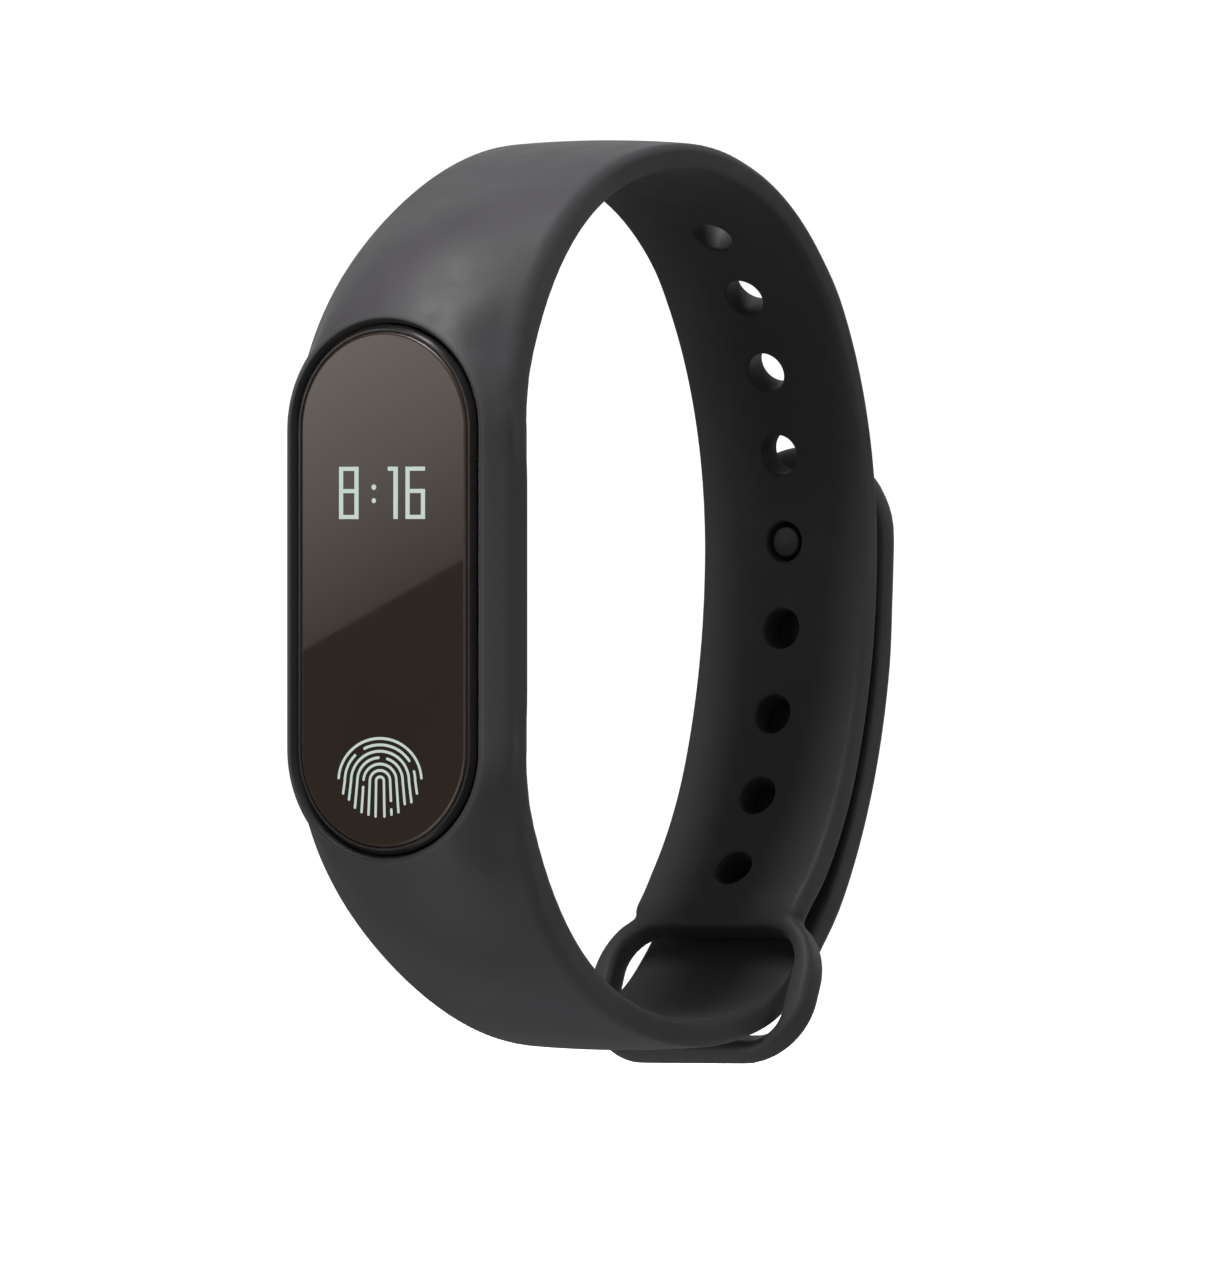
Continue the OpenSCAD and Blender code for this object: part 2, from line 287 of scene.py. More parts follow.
def capsule_solid(name, profile, steps=40):
    """Solid whose capsule outline follows profile [(radius, x), ...]."""
    return loft(name, [capsule_outline(r, x, steps) for r, x in profile])


def lathe(name, profile, place, steps=48):
    """Solid of revolution of [(radius, height), ...] about the local Z axis of place."""
    rings = []
    for r, h in profile:
        rings.append([place @ Vector((r * math.cos(a), r * math.sin(a), h)) for a in
                      (2 * math.pi * i / steps for i in range(steps))])
    return loft(name, rings)


def round_corners(profile, radius, steps):
    """A profile's inner corners as arcs of about this radius; its two end points are left out."""
    out = []
    for before, corner, after in zip(profile, profile[1:], profile[2:]):
        p = Vector(corner)
        a, b = Vector(before) - p, Vector(after) - p
        cut = min(radius, 0.45 * a.length, 0.45 * b.length)
        start, end = p + a.normalized() * cut, p + b.normalized() * cut
        for k in range(steps + 1):
            t = k / steps
            out.append(tuple(start * (1 - t) ** 2 + p * 2 * t * (1 - t) + end * t * t))
    return out


def modify(obj, kind, **settings):
    """Adds a modifier with these settings and applies it."""
    modifier = obj.modifiers.new(kind, kind)
    for key, value in settings.items():
        setattr(modifier, key, value)
    graph = bpy.context.evaluated_depsgraph_get()
    mesh = bpy.data.meshes.new_from_object(obj.evaluated_get(graph))
    obj.modifiers.clear()
    obj.data = mesh


def remove(*objs):
    for obj in objs:
        bpy.data.objects.remove(obj)


def join(name, objs):
    """One object from several, as overlapping shells."""
    bm = bmesh.new()
    for obj in objs:
        bm.from_mesh(obj.data)
    mesh = bpy.data.meshes.new(name)
    bm.to_mesh(mesh)
    bm.free()
    obj = bpy.data.objects.new(name, mesh)
    bpy.context.scene.collection.objects.link(obj)
    remove(*objs)
    return obj


def boolean(obj, operation, *tools):
    """Applies one boolean after another, and returns the object."""
    for tool in tools:
        modify(obj, "BOOLEAN", operation=operation, solver="MANIFOLD", object=tool)
    remove(*tools)
    return obj


def melt(obj):
    """Fuses overlapping shells into one moulded skin and softens its edges."""
    modify(obj, "REMESH", mode="VOXEL", voxel_size=VOXEL * MM, use_smooth_shade=True)
    modify(obj, "SMOOTH", factor=0.5, iterations=8)


def smooth_faces(obj):
    for face in obj.data.polygons:
        face.use_smooth = True


def shade(obj, sharp_degrees):
    """Smooth shading, with edges sharper than this kept crisp."""
    smooth_faces(obj)
    bm = bmesh.new()
    bm.from_mesh(obj.data)
    limit = math.radians(sharp_degrees)
    for edge in bm.edges:
        edge.smooth = not (edge.is_manifold and edge.calc_face_angle(0.0) > limit)
    bm.to_mesh(obj.data)
    bm.free()


# ---- Materials ------------------------------------------------------------------------------------

class Paint:
    """Node material built round one Principled shader, in object coordinates."""

    def __init__(self, name, color, rough, metal=0.0, **settings):
        self.mat = bpy.data.materials.new(name)
        self.mat.use_nodes = True
        self.tree = self.mat.node_tree
        self.bsdf = self.tree.nodes["Principled BSDF"]
        self.color = (*color, 1.0)
        for key, value in dict(settings, **{"Base Color": self.color, "Roughness": rough,
                                            "Metallic": metal}).items():
            self.bsdf.inputs[key].default_value = value
        self.rough = rough
        self.place = self.node("ShaderNodeTexCoord").outputs["Object"]

    def node(self, kind, **settings):
        """New shader node; a setting is a property of it or else the input of that name."""
        node = self.tree.nodes.new(kind)
        for key, value in settings.items():
            if hasattr(node, key):
                setattr(node, key, value)
            else:
                self.link(value, node.inputs[key])
        return node

    def link(self, value, socket):
        if isinstance(value, bpy.types.NodeSocket):
            self.tree.links.new(value, socket)
        else:
            socket.default_value = value

    def noise(self, size, detail=3.0, rough=0.5, stretch=(1, 1, 1)):
        """Noise whose features are about size millimetres across."""
        place = self.place
        if stretch != (1, 1, 1):
            place = self.node("ShaderNodeMapping", Vector=place, Scale=stretch).outputs[0]
        return self.node("ShaderNodeTexNoise", Vector=place, Scale=1 / (size * MM), Detail=detail,
                         Roughness=rough).outputs["Fac"]

    def cells(self, size):
        """Distance to the nearest of scattered points that lie about size millimetres apart."""
        return self.node("ShaderNodeTexVoronoi", Vector=self.place,
                         Scale=1 / (size * MM)).outputs["Distance"]

    def remap(self, value, low, high, to_low=0.0, to_high=1.0):
        node = self.node("ShaderNodeMapRange", Value=value)
        for key, v in (("From Min", low), ("From Max", high), ("To Min", to_low), ("To Max", to_high)):
            node.inputs[key].default_value = v
        return node.outputs["Result"]

    def math(self, operation, a, b):
        node = self.node("ShaderNodeMath", operation=operation)
        self.link(a, node.inputs[0])
        self.link(b, node.inputs[1])
        return node.outputs["Value"]

    def tint(self, factor, color):
        """Mixes the base colour towards another one by factor."""
        node = self.node("ShaderNodeMix", data_type="RGBA")
        self.link(factor, node.inputs["Factor"])
        self.link(self.color, node.inputs[6])
        self.link((*color, 1.0), node.inputs[7])
        self.color = node.outputs[2]
        self.link(self.color, self.bsdf.inputs["Base Color"])

    def vary_rough(self, factor, spread):
        self.link(self.remap(factor, 0.3, 0.7, max(0.0, self.rough - spread), self.rough + spread),
                  self.bsdf.inputs["Roughness"])

    def bump(self, height, depth, strength=1.0):
        """Surface relief: height 0..1 stands for depth millimetres."""
        node = self.node("ShaderNodeBump", Height=height)
        node.inputs["Strength"].default_value = strength
        node.inputs["Distance"].default_value = depth * MM
        normal = self.bsdf.inputs["Normal"]
        if normal.is_linked:
            self.link(normal.links[0].from_socket, node.inputs["Normal"])
        self.link(node.outputs[0], normal)


def capsule_reach(p):
    """Distance of a point from the line along the tracker's long axis, and the point's coordinates."""
    axes = p.node("ShaderNodeSeparateXYZ", Vector=p.place).outputs
    beyond = p.math("MAXIMUM", p.math("SUBTRACT", p.math("ABSOLUTE", axes["Z"], 0.0), CAP_Z * MM), 0.0)
    square = p.math("ADD", p.math("MULTIPLY", beyond, beyond), p.math("MULTIPLY", axes["Y"], axes["Y"]))
    return p.math("SQRT", square, 0.0), axes


def painted_window_shade(p):
    """Mask of the painted shade on the bevel round the window: the band where the bevel sits in shadow.
    """
    reach, axes = capsule_reach(p)
    inside = p.remap(reach, 8.58 * MM, 8.42 * MM)
    return p.math("MULTIPLY", inside, p.remap(axes["X"], -27 * MM, -28 * MM))


def silicone():
    p = Paint("strap_silicone", (0.058, 0.055, 0.058), 0.56, **{"Specular IOR Level": 0.42})
    p.bsdf.inputs["Sheen Weight"].default_value = 0.10
    p.bsdf.inputs["Sheen Roughness"].default_value = 0.5
    cloudy = p.noise(9, 4)
    p.tint(p.remap(cloudy, 0.35, 0.7), (0.068, 0.065, 0.069))
    lint = p.remap(p.cells(0.55), 0.04, 0.0)
    where = p.remap(p.noise(3.5), 0.56, 0.66)
    p.tint(p.math("MULTIPLY", p.math("MULTIPLY", lint, where), 0.22), (0.30, 0.30, 0.31))
    # Painted shade: the bevel round the window is darkened to stand for the shadow in its recess
    p.tint(painted_window_shade(p), (0.024, 0.0225, 0.0235))
    p.vary_rough(p.noise(2.2, 5), 0.05)
    p.bump(p.noise(0.16, 4, 0.6), 0.006)
    p.bump(p.noise(1.6, 2), 0.012, 0.6)
    return p.mat


def smoked_glass():
    p = Paint("front_glass", (0.028, 0.0175, 0.0115), 0.02, IOR=1.55)
    p.tint(p.remap(p.noise(14, 2), 0.35, 0.65), (0.032, 0.020, 0.0133))
    wear = p.remap(p.noise(4, 6, 0.6, (1, 2.2, 0.5)), 0.3, 0.7, 0.010, 0.026)
    ground = p.remap(capsule_reach(p)[0], (GLASS_R - 0.27) * MM, (GLASS_R - 0.23) * MM, 0.0, 0.38)
    p.link(p.math("ADD", wear, ground), p.bsdf.inputs["Roughness"])
    p.bump(p.noise(11, 1), 0.0012, 0.5)
    return p.mat


def lit_segments():
    p = Paint("lit_segments", (0.20, 0.23, 0.215), 0.3)
    p.tint(p.remap(p.cells(0.09), 0.02, 0.06), (0.23, 0.27, 0.25))
    p.bsdf.inputs["Emission Color"].default_value = (0.66, 0.80, 0.735, 1)
    p.bsdf.inputs["Emission Strength"].default_value = 0.55
    return p.mat


def moulded(name, color, light, rough, grain=0.22, depth=0.008, **settings):
    """Moulded plastic or rubber with a spark-eroded grain and slight colour drift."""
    p = Paint(name, color, rough, **settings)
    p.tint(p.remap(p.noise(5, 4), 0.35, 0.68), light)
    p.vary_rough(p.noise(1.4, 5), 0.06)
    p.bump(p.noise(grain, 4, 0.6), depth)
    return p.mat


def metal(name, color, light, rough, stretch=(1, 1, 1), grain=0.3, depth=0.003):
    p = Paint(name, color, rough, 1.0)
    p.tint(p.remap(p.noise(2.5, 4), 0.35, 0.68), light)
    p.vary_rough(p.noise(grain, 6, 0.6, stretch), 0.09)
    p.bump(p.noise(grain, 3, 0.5, stretch), depth)
    return p.mat


def circuit_board():
    p = Paint("circuit_board", (0.012, 0.095, 0.040), 0.32, **{"Coat Weight": 0.4})
    tracks = p.node("ShaderNodeTexBrick", Vector=p.place, Scale=900.0, offset=0.37)
    tracks.inputs["Mortar Size"].default_value = 0.06
    p.tint(p.remap(tracks.outputs["Fac"], 0.4, 0.6), (0.035, 0.17, 0.075))
    p.tint(p.remap(p.cells(0.9), 0.16, 0.13), (0.75, 0.58, 0.22))
    p.bump(tracks.outputs["Fac"], 0.02)
    return p.mat


def flex_circuit():
    p = Paint("flex_circuit", (0.42, 0.20, 0.035), 0.30)
    wave = p.node("ShaderNodeTexWave", Vector=p.place, Scale=700.0, bands_direction="Y",
                  Distortion=0.4)
    p.tint(p.remap(wave.outputs["Fac"], 0.55, 0.7), (0.60, 0.33, 0.10))
    p.bump(wave.outputs["Fac"], 0.012)
    return p.mat


def battery_foil():
    p = Paint("battery_foil", (0.55, 0.56, 0.58), 0.34, 1.0)
    creases = p.noise(2.4, 6, 0.62)
    p.tint(p.remap(creases, 0.4, 0.65), (0.68, 0.69, 0.71))
    p.vary_rough(creases, 0.08)
    p.bump(creases, 0.06)
    return p.mat


def display_stack():
    p = Paint("display_stack", (0.008, 0.008, 0.012), 0.10, **{"Coat Weight": 0.6})
    dots = p.cells(0.12)
    p.tint(p.remap(dots, 0.03, 0.05), (0.014, 0.014, 0.022))
    p.vary_rough(p.noise(3), 0.03)
    return p.mat


def light_resin():
    p = Paint("led_resin", (0.10, 0.42, 0.15), 0.16, **{"Coat Weight": 0.5})
    p.tint(p.remap(p.cells(0.5), 0.12, 0.2), (0.22, 0.62, 0.26))
    p.bump(p.noise(0.5), 0.01)
    return p.mat


FINISHES = {
    "strap_silicone": silicone(),
    "stud": moulded("stud", (0.020, 0.020, 0.022), (0.030, 0.030, 0.032), 0.40, 0.12, 0.003),
    "front_glass": smoked_glass(),
    "case_gloss": moulded("case_gloss", (0.011, 0.0095, 0.009), (0.015, 0.013, 0.0125), 0.30,
                          0.3, 0.003),
    "case_matte": moulded("case_matte", (0.022, 0.022, 0.024), (0.031, 0.031, 0.034), 0.48,
                          0.14, 0.010),
    "seal_rubber": moulded("seal_rubber", (0.028, 0.028, 0.030), (0.042, 0.042, 0.044), 0.66),
    "adhesive": moulded("adhesive", (0.012, 0.012, 0.012), (0.022, 0.022, 0.022), 0.55, 0.4),
    "display_stack": display_stack(),
    "flex_circuit": flex_circuit(),
    "circuit_board": circuit_board(),
    "chip_black": moulded("chip_black", (0.018, 0.018, 0.019), (0.032, 0.032, 0.033), 0.55,
                          0.08, 0.006),
    "ceramic_part": moulded("ceramic_part", (0.56, 0.48, 0.36), (0.66, 0.60, 0.50), 0.44, 0.1, 0.006),
    "steel": metal("steel", (0.50, 0.50, 0.52), (0.62, 0.62, 0.64), 0.30, (6, 1, 1)),
    "battery_foil": battery_foil(),
    "foam": moulded("foam", (0.020, 0.020, 0.020), (0.045, 0.045, 0.045), 0.9, 0.3, 0.06),
    "wire_sleeve": moulded("wire_sleeve", (0.42, 0.022, 0.018), (0.52, 0.035, 0.028), 0.35, 0.3),
    "magnet": metal("magnet", (0.22, 0.22, 0.24), (0.32, 0.32, 0.34), 0.38),
    "tungsten": metal("tungsten", (0.26, 0.245, 0.22), (0.36, 0.34, 0.31), 0.46, grain=0.15,
                      depth=0.012),
    "led_resin": light_resin(),
    "sensor_window": moulded("sensor_window", (0.010, 0.014, 0.013), (0.016, 0.021, 0.020), 0.10, 0.6,
                             0.001, **{"Coat Weight": 0.5}),
    "gold_contact": metal("gold_contact", (0.72, 0.50, 0.18), (0.85, 0.64, 0.28), 0.26),
    "lit_segments": lit_segments(),
}
for row in frame["record"]["subparts"]:
    node = nodes[row["node"]]
    if not node.data.materials:
        node.data.materials.append(None)
    for material_slot in node.material_slots:
        material_slot.material = FINISHES[row["material_slot"]]


def piece(obj, name, finish, body=None, replaces=(), sharp=35):
    """Finished piece: named, painted and shaded; the nodes it stands for are hidden, and it is tied to
    its body if one is given.
    """
    obj.name = obj.data.name = name
    obj.data.materials.clear()
    obj.data.materials.append(FINISHES[finish])
    shade(obj, sharp)
    if replaces:
        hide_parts(*replaces)
    if body:
        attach(obj, body)


# ---- Strap ----------------------------------------------------------------------------------------

UPPER_END = path_length(UPPER_PATH)
LOWER_END = path_length(LOWER_PATH)


def strap_rings(path, side, s0, s1, step=0.8):
    """Cross-sections of the strap between two stations."""
    n = math.ceil((s1 - s0) / step)
    return [ring_points(path, side, s0 + (s1 - s0) * i / n) for i in range(n + 1)]


def half_space(path, side, s, length, low=-30.0, high=30.0, wide=12.0):
    """Block that starts at a station's plane and reaches length along the path."""
    m = frame_at(path, side, s)
    x0, x1 = sorted((0.0, length))
    corners = [[m @ Vector((x, y, z)) for y, z in
                ((-wide, low), (wide, low), (wide, high), (-wide, high))] for x in (x0, x1)]
    return loft("half_space", corners)


def rounded_path(corners, steps):
    """Closed outline [(x, y, corner radius), ...] with round corners, evenly stepped at each."""
    n = len(corners)
    out = []
    for i, (x, y, r) in enumerate(corners):
        p = Vector((x, y))
        a = (Vector(corners[i - 1][:2]) - p).normalized()
        b = (Vector(corners[(i + 1) % n][:2]) - p).normalized()
        half = a.angle(b) / 2
        reach = r / math.tan(half)
        centre = p + (a + b).normalized() * (r / math.sin(half))
        start, end = p + a * reach - centre, p + b * reach - centre
        sweep = start.angle_signed(end)
        for k in range(steps + 1):
            out.append(tuple(centre + Matrix.Rotation(-sweep * k / steps, 2) @ start))
    return out


def ring_section(outer, near, far, thick, r, m, steps=4):
    """Closed ring of rounded section between an outline and an opening given at its two faces."""
    rings = []
    for q, p0, p1 in zip(outer, near, far):
        corners = [(Vector(p0), 0), (Vector(q), 0), (Vector(q), thick), (Vector(p1), thick)]
        corners = [Vector((p.x, p.y, h)) for p, h in corners]
        points = []
        for i, p in enumerate(corners):
            a, b = corners[i - 1] - p, corners[(i + 1) % 4] - p
            a, b = (e.normalized() * min(r, 0.47 * e.length) for e in (a, b))
            for k in range(steps + 1):
                t = k / steps
                points.append(m @ (p + a * (1 - t) ** 2 + b * t ** 2))
        rings.append(points)
    return loft("ring", rings, closed=True)


def loop_solid():
    """The loop at the end of the holed strap: its window's floor slopes up to the outside."""
    root, end, top = -0.7, 11.8, 1.3
    thick, edge_r, steps = 2.55, 0.72, 16
    w = POCKET_HALF
    outer = rounded_path([(root, w, 5.9), (end, w, 5.3), (end, -w, 5.3), (root, -w, 5.9)], steps)
    w = POCKET_HALF - 1.8
    near, far = (rounded_path([(top, w, 3.0), (floor, w, r), (floor, -w, r), (top, -w, 3.0)], steps)
                 for floor, r in ((10.85, 2.5), (9.0, 3.0)))
    return ring_section(outer, near, far, thick, edge_r, frame_at(UPPER_PATH, 1, UPPER_END))


def soften(obj, weigh, rounds):
    """Smooths a mesh where weigh(point in millimetres) is above zero."""
    group = obj.vertex_groups.new(name="soft")
    for v in obj.data.vertices:
        weight = weigh(v.co / MM)
        if weight > 0:
            group.add([v.index], min(1.0, weight), "REPLACE")
    modify(obj, "SMOOTH", factor=0.5, iterations=rounds, vertex_group="soft")
    obj.vertex_groups.clear()


def capsule_distance(p):
    return math.hypot(p.y, max(0.0, abs(p.z) - CAP_Z))


def near_lip(p):
    """1 where the lip's ends grow out of the strap, 0 away from there."""
    if p.x > -20 or abs(p.z) < 8:
        return 0.0
    r = capsule_distance(p)
    outside = 1 - smooth(-26.8, -23.5, p.x)
    return outside * smooth(8.9, 10.2, r) * (1 - smooth(14, 18, r)) * smooth(8, 14, abs(p.z))


LOOP_FRAME = frame_at(UPPER_PATH, 1, UPPER_END).inverted()


def near_loop(p):
    """1 where the strap runs into the loop, 0 away from there."""
    q = LOOP_FRAME @ Vector(p)
    if abs(q.x + 0.5) > 4 or not -1 < q.z < 4:
        return 0.0
    return smooth(-4, -1.5, q.x) * (1 - smooth(0.2, 1.5, q.x))


def hole_cutter(s):
    """Cutter of one hole, with a small round at both of its edges."""
    rim, top = 0.16, STRAP_T + 0.25
    arc = [(HOLE_R + rim * (1 - math.sin(a)), rim * (1 - math.cos(a)))
           for a in (math.pi / 2 * i / 5 for i in range(6))]
    profile = [(HOLE_R + rim, -1.2)] + arc + [(r, top - h) for r, h in reversed(arc)]
    return lathe("hole", profile + [(HOLE_R + rim, top + 1.2)], frame_at(UPPER_PATH, 1, s))


def main_strap():
    """Both arms of the band up to the tail, the lip round the window and the loop, in one skin."""
    upper = strap_rings(UPPER_PATH, 1, 0, UPPER_END)
    lower = strap_rings(LOWER_PATH, -1, 0, SEAM_S + 0.8)
    lip = capsule_solid("lip", [(8.30, LIP_X), (8.75, SIDE_X - 1.7), (9.10, SIDE_X - 1.25),
                                (9.40, SIDE_X - 0.7), (9.62, SIDE_X - 0.25),
                                (POCKET_HALF, SIDE_X + 0.3), (POCKET_HALF, SIDE_X + 1.2)])
    obj = join("band", [loft("sweep", upper[:0:-1] + lower), lip, loop_solid()])
    melt(obj)
    soften(obj, near_lip, 60)
    soften(obj, near_loop, 36)
    modify(obj, "DECIMATE", ratio=KEPT_SHARE)
    seat = capsule_solid("pocket", [(9.3, SIDE_X - 3.4), (8.9, SIDE_X - 2.2), (8.42, SIDE_X - 1.86),
                                    (8.22, SIDE_X - 1.62), (8.10, SIDE_X - 1.3), (SEAT_R, SIDE_X - 0.9),
                                    (SEAT_R, SHELF_X), (SHELF_R, SHELF_X), (SHELF_R, SKIN_X + 4)], 64)
    beyond_seam = half_space(LOWER_PATH, -1, SEAM_S, 3.0, -0.3, 3.2, STRAP_HALF + 0.25)
    holes = [hole_cutter(STUD_HOLE_S + (i - STUD_HOLE) * HOLE_PITCH) for i in range(HOLE_COUNT)]
    return boolean(obj, "DIFFERENCE", seat, beyond_seam, *holes)


STUD_FRAME = frame_at(UPPER_PATH, 1, STUD_HOLE_S)
STUD_Z = STUD_FRAME.translation.z


def near_tip(p):
    """1 along the tail's round end, 0 away from its edge."""
    edge = STRAP_HALF - math.hypot(p.y, max(0.0, p.z - STUD_Z))
    return smooth(-6, 0, p.z) * (1 - smooth(0.5, 1.6, edge))


def tail():
    """The tail in one piece, cut to a round end about the stud."""
    obj = loft("tail", strap_rings(LOWER_PATH, -1, SEAM_S - 1.5, LOWER_END))
    half = STRAP_HALF + 0.02
    outline = [(-half, -60), (half, -60)]
    outline += [(half * math.cos(a), STUD_Z + half * math.sin(a))
                for a in (math.pi * i / 48 for i in range(49))]
    boolean(obj, "INTERSECT", loft("tip", [[(x, y, z) for y, z in outline] for x in (5, 45)]))
    melt(obj)
    soften(obj, near_tip, 45)
    modify(obj, "DECIMATE", ratio=KEPT_SHARE)
    return obj


def point_in_strap(s):
    """Middle of the strap's thickness at a station of the lower path, in metres."""
    return (frame_at(LOWER_PATH, -1, s) @ Vector((0, 0, STRAP_T / 2))) * MM


def tail_pieces():
    """The tail cut into its two pieces."""
    root = tail()
    tip = root.copy()
    tip.data = root.data.copy()
    bpy.context.scene.collection.objects.link(tip)
    boolean(root, "DIFFERENCE", half_space(LOWER_PATH, -1, SEAM_S, -20),
            half_space(LOWER_PATH, -1, TAIL_SPLIT_S, 60))
    boolean(tip, "DIFFERENCE", half_space(LOWER_PATH, -1, TAIL_SPLIT_S, -40))
    piece(root, "tail_root", "strap_silicone", replaces=["strap_tail_middle"])
    piece(tip, "tail_end", "strap_silicone", replaces=["strap_tail_tip"])
    point_in_strap(66.4)
    point_in_strap(76.6)
    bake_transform(root)
    point_in_strap(80)
    point_in_strap(90)
    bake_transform(tip)


def clasp_stud():
    """Stud with a bulb at its tip, a waisted neck and a flat head."""
    bulb, neck, head = 1.3, 1.08, 2.5
    profile = [(0, 0.25), (1.15, 0.25), (bulb, 0.55), (bulb, 0.95), (neck, 1.35), (neck, 2.2),
               (bulb, 2.5), (bulb, 3.3), (head, 3.3), (head, 4.0), (0, 4.0)]
    return lathe("stud", round_corners(profile, 0.12, 3), STUD_FRAME)


piece(main_strap(), "band_strap", "strap_silicone", "band", ["strap"])
tail_pieces()
piece(clasp_stud(), "clasp_button", "stud", "tail_tip", ["clasp_stud"])


# ---- Tracker --------------------------------------------------------------------------------------

def glass():
    """The window's pane, with a small round worn on its front edge."""
    face = FACE_X + 0.012
    return capsule_solid("glass", [(GLASS_R - 0.24, face), (GLASS_R - 0.14, face + 0.035),
                                   (GLASS_R - 0.05, face + 0.11), (GLASS_R, face + 0.22),
                                   (GLASS_R, GLASS_HIGH.x)], 64)


def ribbon(points, width):
    """Outline polygon of a stroke of this width with round ends, along points (y, z)."""
    pts = [Vector(p) for p in points]
    normals = []
    for i in range(len(pts)):
        t = (pts[min(i + 1, len(pts) - 1)] - pts[max(i - 1, 0)]).normalized()
        normals.append(Vector((-t.y, t.x)) * width / 2)
    left = [p + n for p, n in zip(pts, normals)]
    right = [p - n for p, n in zip(pts, normals)]
    end = [pts[-1] + Matrix.Rotation(-math.pi * k / 6, 2) @ normals[-1] for k in range(1, 6)]
    start = [pts[0] + Matrix.Rotation(-math.pi * k / 6, 2) @ -normals[0] for k in range(1, 6)]
    return left + end + right[::-1] + start


def plates(name, outlines):
    """Thin plates standing just proud of the glass, one for each outline of (y, z) points."""
    solids = [loft(name, [[(x, p[0], p[1]) for p in outline] for x in (FACE_X, FACE_X + 0.05)])
              for outline in outlines]
    piece(join(name, solids), name, "lit_segments", "tracker")


def bar(y0, y1, z0, z1):
    """Outline of one straight stroke of a digit."""
    return [(y0, z0), (y1, z0), (y1, z1), (y0, z1)]


def readout():
    """Clock face 8:16 in thin segments; eight, one and six are the y of the digits' first edges."""
    top, mid, low = 9.30, 7.46, 5.34
    v, h = 0.37, 0.31
    eight, one, six = 3.92, -0.42, -2.00
    wide, narrow = 1.74, 0.90
    out = [bar(eight, eight - v, low, top), bar(eight - wide, eight - wide + v, low, top)]
    out += [bar(eight - v, eight - wide + v, z, z + h) for z in (top - h, mid - h / 2, low)]
    out += [bar(one, one - narrow, top - h, top), bar(one - narrow + 0.40, one - narrow, low, top - h)]
    out += [bar(six, six - v, low, top), bar(six - wide + v, six - wide, low, mid + h / 2),
            bar(six - v, six - wide, top - h, top),
            bar(six - v, six - wide + v, mid - h / 2, mid + h / 2),
            bar(six - v, six - wide + v, low, low + h)]
    colon = 0.82
    for z, r in ((7.75, 0.21), (6.73, 0.19)):
        out.append([(colon + r * math.cos(t), z + r * math.sin(t))
                    for t in (2 * math.pi * k / 20 for k in range(20))])
    plates("readout", out)


def touch_icon():
    """Nested arches with gaps, cut to a round patch: a plain touch key symbol."""
    centre, radius, wide = Vector((0.27, -13.98)), 3.22, 1.15
    steps, line = 240, 0.21
    strokes = []
    gaps = {0: (), 1: ((200, 214),), 2: ((62, 74),), 3: ((118, 130), (205, 216)), 4: ((30, 42),),
            5: ((96, 106), (150, 160)), 6: ((52, 62), (172, 184))}
    for k in range(7):
        r = 0.30 + 0.485 * k
        path = []
        for i in range(steps + 1):
            t = i / steps
            if t < 0.3:
                u = 1 - t / 0.3
                p = Vector((r * (1 + 0.18 * u), -3.4 * u - 0.5))
            elif t > 0.7:
                u = (t - 0.7) / 0.3
                p = Vector((-r * (1 + 0.18 * u), -3.4 * u - 0.5))
            else:
                a = math.pi * (t - 0.3) / 0.4
                p = Vector((r * math.cos(a), r * math.sin(a) - 0.5))
            inside = p.length < radius and not any(g0 < i < g1 for g0, g1 in gaps[k])
            if inside:
                path.append((centre.x + p.x * wide, centre.y + p.y))
            if (not inside or i == steps) and len(path) > 6:
                strokes.append(ribbon(path, line))
            if not inside:
                path = []
    plates("touch_icon", strokes)


piece(glass(), "window_glass", "front_glass", "tracker", ["front_glass"], 12)
readout()
touch_icon()


# ---- Stage, lights and camera ----------------------------------------------------------------------

# BACK points from the object to the camera
AZIMUTH = -58.5
BACK = Vector((math.sin(math.radians(AZIMUTH)), -math.cos(math.radians(AZIMUTH)), 0.0))
AIM = Vector((0.00008, -0.00012, -0.00382))
CAMERA_DISTANCE = 3.0
VIEW_HEIGHT = 0.09778
# The panel mirrored in the glass: its distance, its glow from lower edge upwards, and the ends (y, z)
# in millimetres of the diagonal that its lower edge makes on the glass
CARD_REACH = 0.25
CARD_GLOW = (0.62, 2.4)
DIAGONAL = ((7.17, -3.59), (-6.9, 3.21))


def stage():
    """Pale floor that curves up into a plain dome, wide enough to hold the camera on any side."""
    floor_z = cad_box[0][2] - 0.00002
    flat, curve = 6.0, 2.0
    quarter = [math.pi / 2 * i / 12 for i in range(1, 13)]
    profile = [(0.0, floor_z), (flat, floor_z)]
    profile += [(flat + curve * math.sin(a), floor_z + curve * (1 - math.cos(a))) for a in quarter]
    profile += [((flat + curve) * math.cos(a), floor_z + curve + flat * math.sin(a)) for a in quarter]
    obj = lathe("paper_sweep", [(r / MM, z / MM) for r, z in profile], Matrix(), 96)
    smooth_faces(obj)
    p = Paint("paper", (0.90, 0.90, 0.90), 0.9)
    p.tint(p.remap(p.noise(60, 3), 0.3, 0.7), (0.92, 0.92, 0.915))
    p.bsdf.inputs["Specular IOR Level"].default_value = 0.1
    p.bsdf.inputs["Emission Color"].default_value = (1, 1, 1, 1)
    p.bsdf.inputs["Emission Strength"].default_value = 0.97
    obj.data.materials.append(p.mat)
    obj.visible_diffuse = False
    obj.visible_glossy = False
    obj.visible_shadow = False


def area_light(name, place, target, size, watts, color=(1, 1, 1)):
    data = bpy.data.lights.new(name, "AREA")
    data.shape = "RECTANGLE"
    data.size, data.size_y = size
    data.energy = watts
    data.color = color
    obj = bpy.data.objects.new(name, data)
    obj.location = place
    obj.rotation_euler = (Vector(target) - Vector(place)).to_track_quat("-Z", "Y").to_euler()
    bpy.context.scene.collection.objects.link(obj)


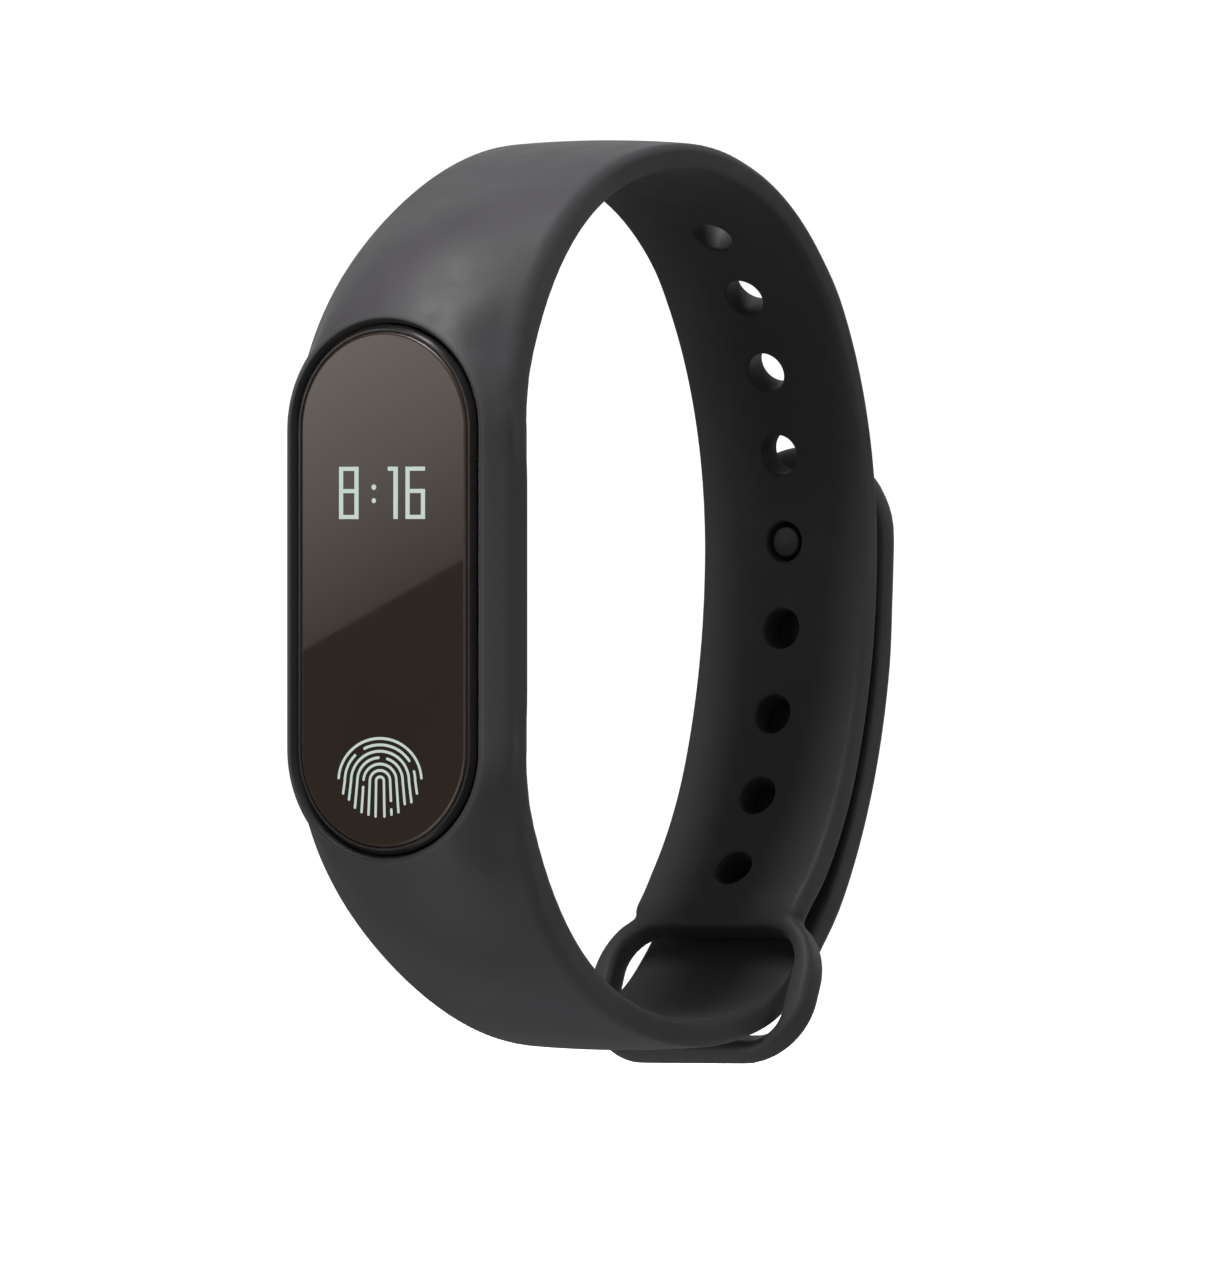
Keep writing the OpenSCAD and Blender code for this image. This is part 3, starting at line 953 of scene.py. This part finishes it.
def glass_card():
    """Panel that the window mirrors towards the camera."""
    mirror = Vector((BACK.x, -BACK.y, 0.0))
    left, right = (Vector((FACE_X, y, z)) * MM + mirror * CARD_REACH for y, z in DIAGONAL)
    edge = (right - left).normalized()
    up = edge.cross(mirror)
    up = up if up.z > 0 else -up
    mesh = bpy.data.meshes.new("glass_card")
    size = 0.06
    mesh.from_pydata([(-size, 0, 0), (size, 0, 0), (size, size, 0), (-size, size, 0)], [],
                     [(0, 1, 2, 3)])
    panel = bpy.data.objects.new("glass_card", mesh)
    panel.matrix_world = Matrix((edge, up, edge.cross(up))).transposed().to_4x4()
    panel.location = (left + right) / 2
    bpy.context.scene.collection.objects.link(panel)
    p = Paint("card_light", (0, 0, 0), 1.0, **{"Emission Color": (1.0, 0.93, 0.88, 1)})
    axes = p.node("ShaderNodeSeparateXYZ", Vector=p.place).outputs
    p.link(p.remap(axes["Y"], 0.0, 0.022, *CARD_GLOW), p.bsdf.inputs["Emission Strength"])
    mesh.materials.append(p.mat)
    panel.visible_camera = False
    panel.visible_diffuse = False
    panel.visible_shadow = False


stage()
area_light("key_top", (-0.22, 0.0, 0.50), (-0.01, 0, 0.0), (0.11, 0.45), 3.0, (1.0, 0.985, 0.99))
area_light("fill_left", (-0.70, 0.03, -0.25), (0, 0, 0), (0.16, 0.45), 1.25, (1.0, 0.99, 1.0))
area_light("fill_low", (-0.22, 0.0, -0.52), (-0.01, 0, -0.01), (0.14, 0.4), 0.36, (1.0, 0.985, 0.995))
area_light("fill_front", (0.10, -0.70, 0.10), (0, 0, 0), (0.3, 0.5), 0.4, (1.0, 0.99, 1.0))
area_light("rim_back", (0.55, 0.45, 0.25), (0, 0, 0), (0.4, 0.5), 0.5)
area_light("fill_back", (0.6, -0.1, 0.0), (0, 0, 0), (0.3, 0.5), 0.25)
glass_card()

world = bpy.data.worlds.new("studio")
world.use_nodes = True
world.node_tree.nodes["Background"].inputs["Color"].default_value = (0.95, 0.96, 1.0, 1)
world.node_tree.nodes["Background"].inputs["Strength"].default_value = 0.14
bpy.context.scene.world = world
bpy.context.scene.view_settings.view_transform = "Standard"

camera = bpy.data.cameras.new("camera")
camera.sensor_width = 36
camera.lens = camera.sensor_width * CAMERA_DISTANCE / VIEW_HEIGHT
camera.clip_start, camera.clip_end = 0.05, 20
camera_obj = bpy.data.objects.new("camera", camera)
camera_obj.location = AIM + BACK * CAMERA_DISTANCE
camera_obj.rotation_euler = BACK.to_track_quat("Z", "Y").to_euler()
bpy.context.scene.collection.objects.link(camera_obj)
bpy.context.scene.camera = camera_obj
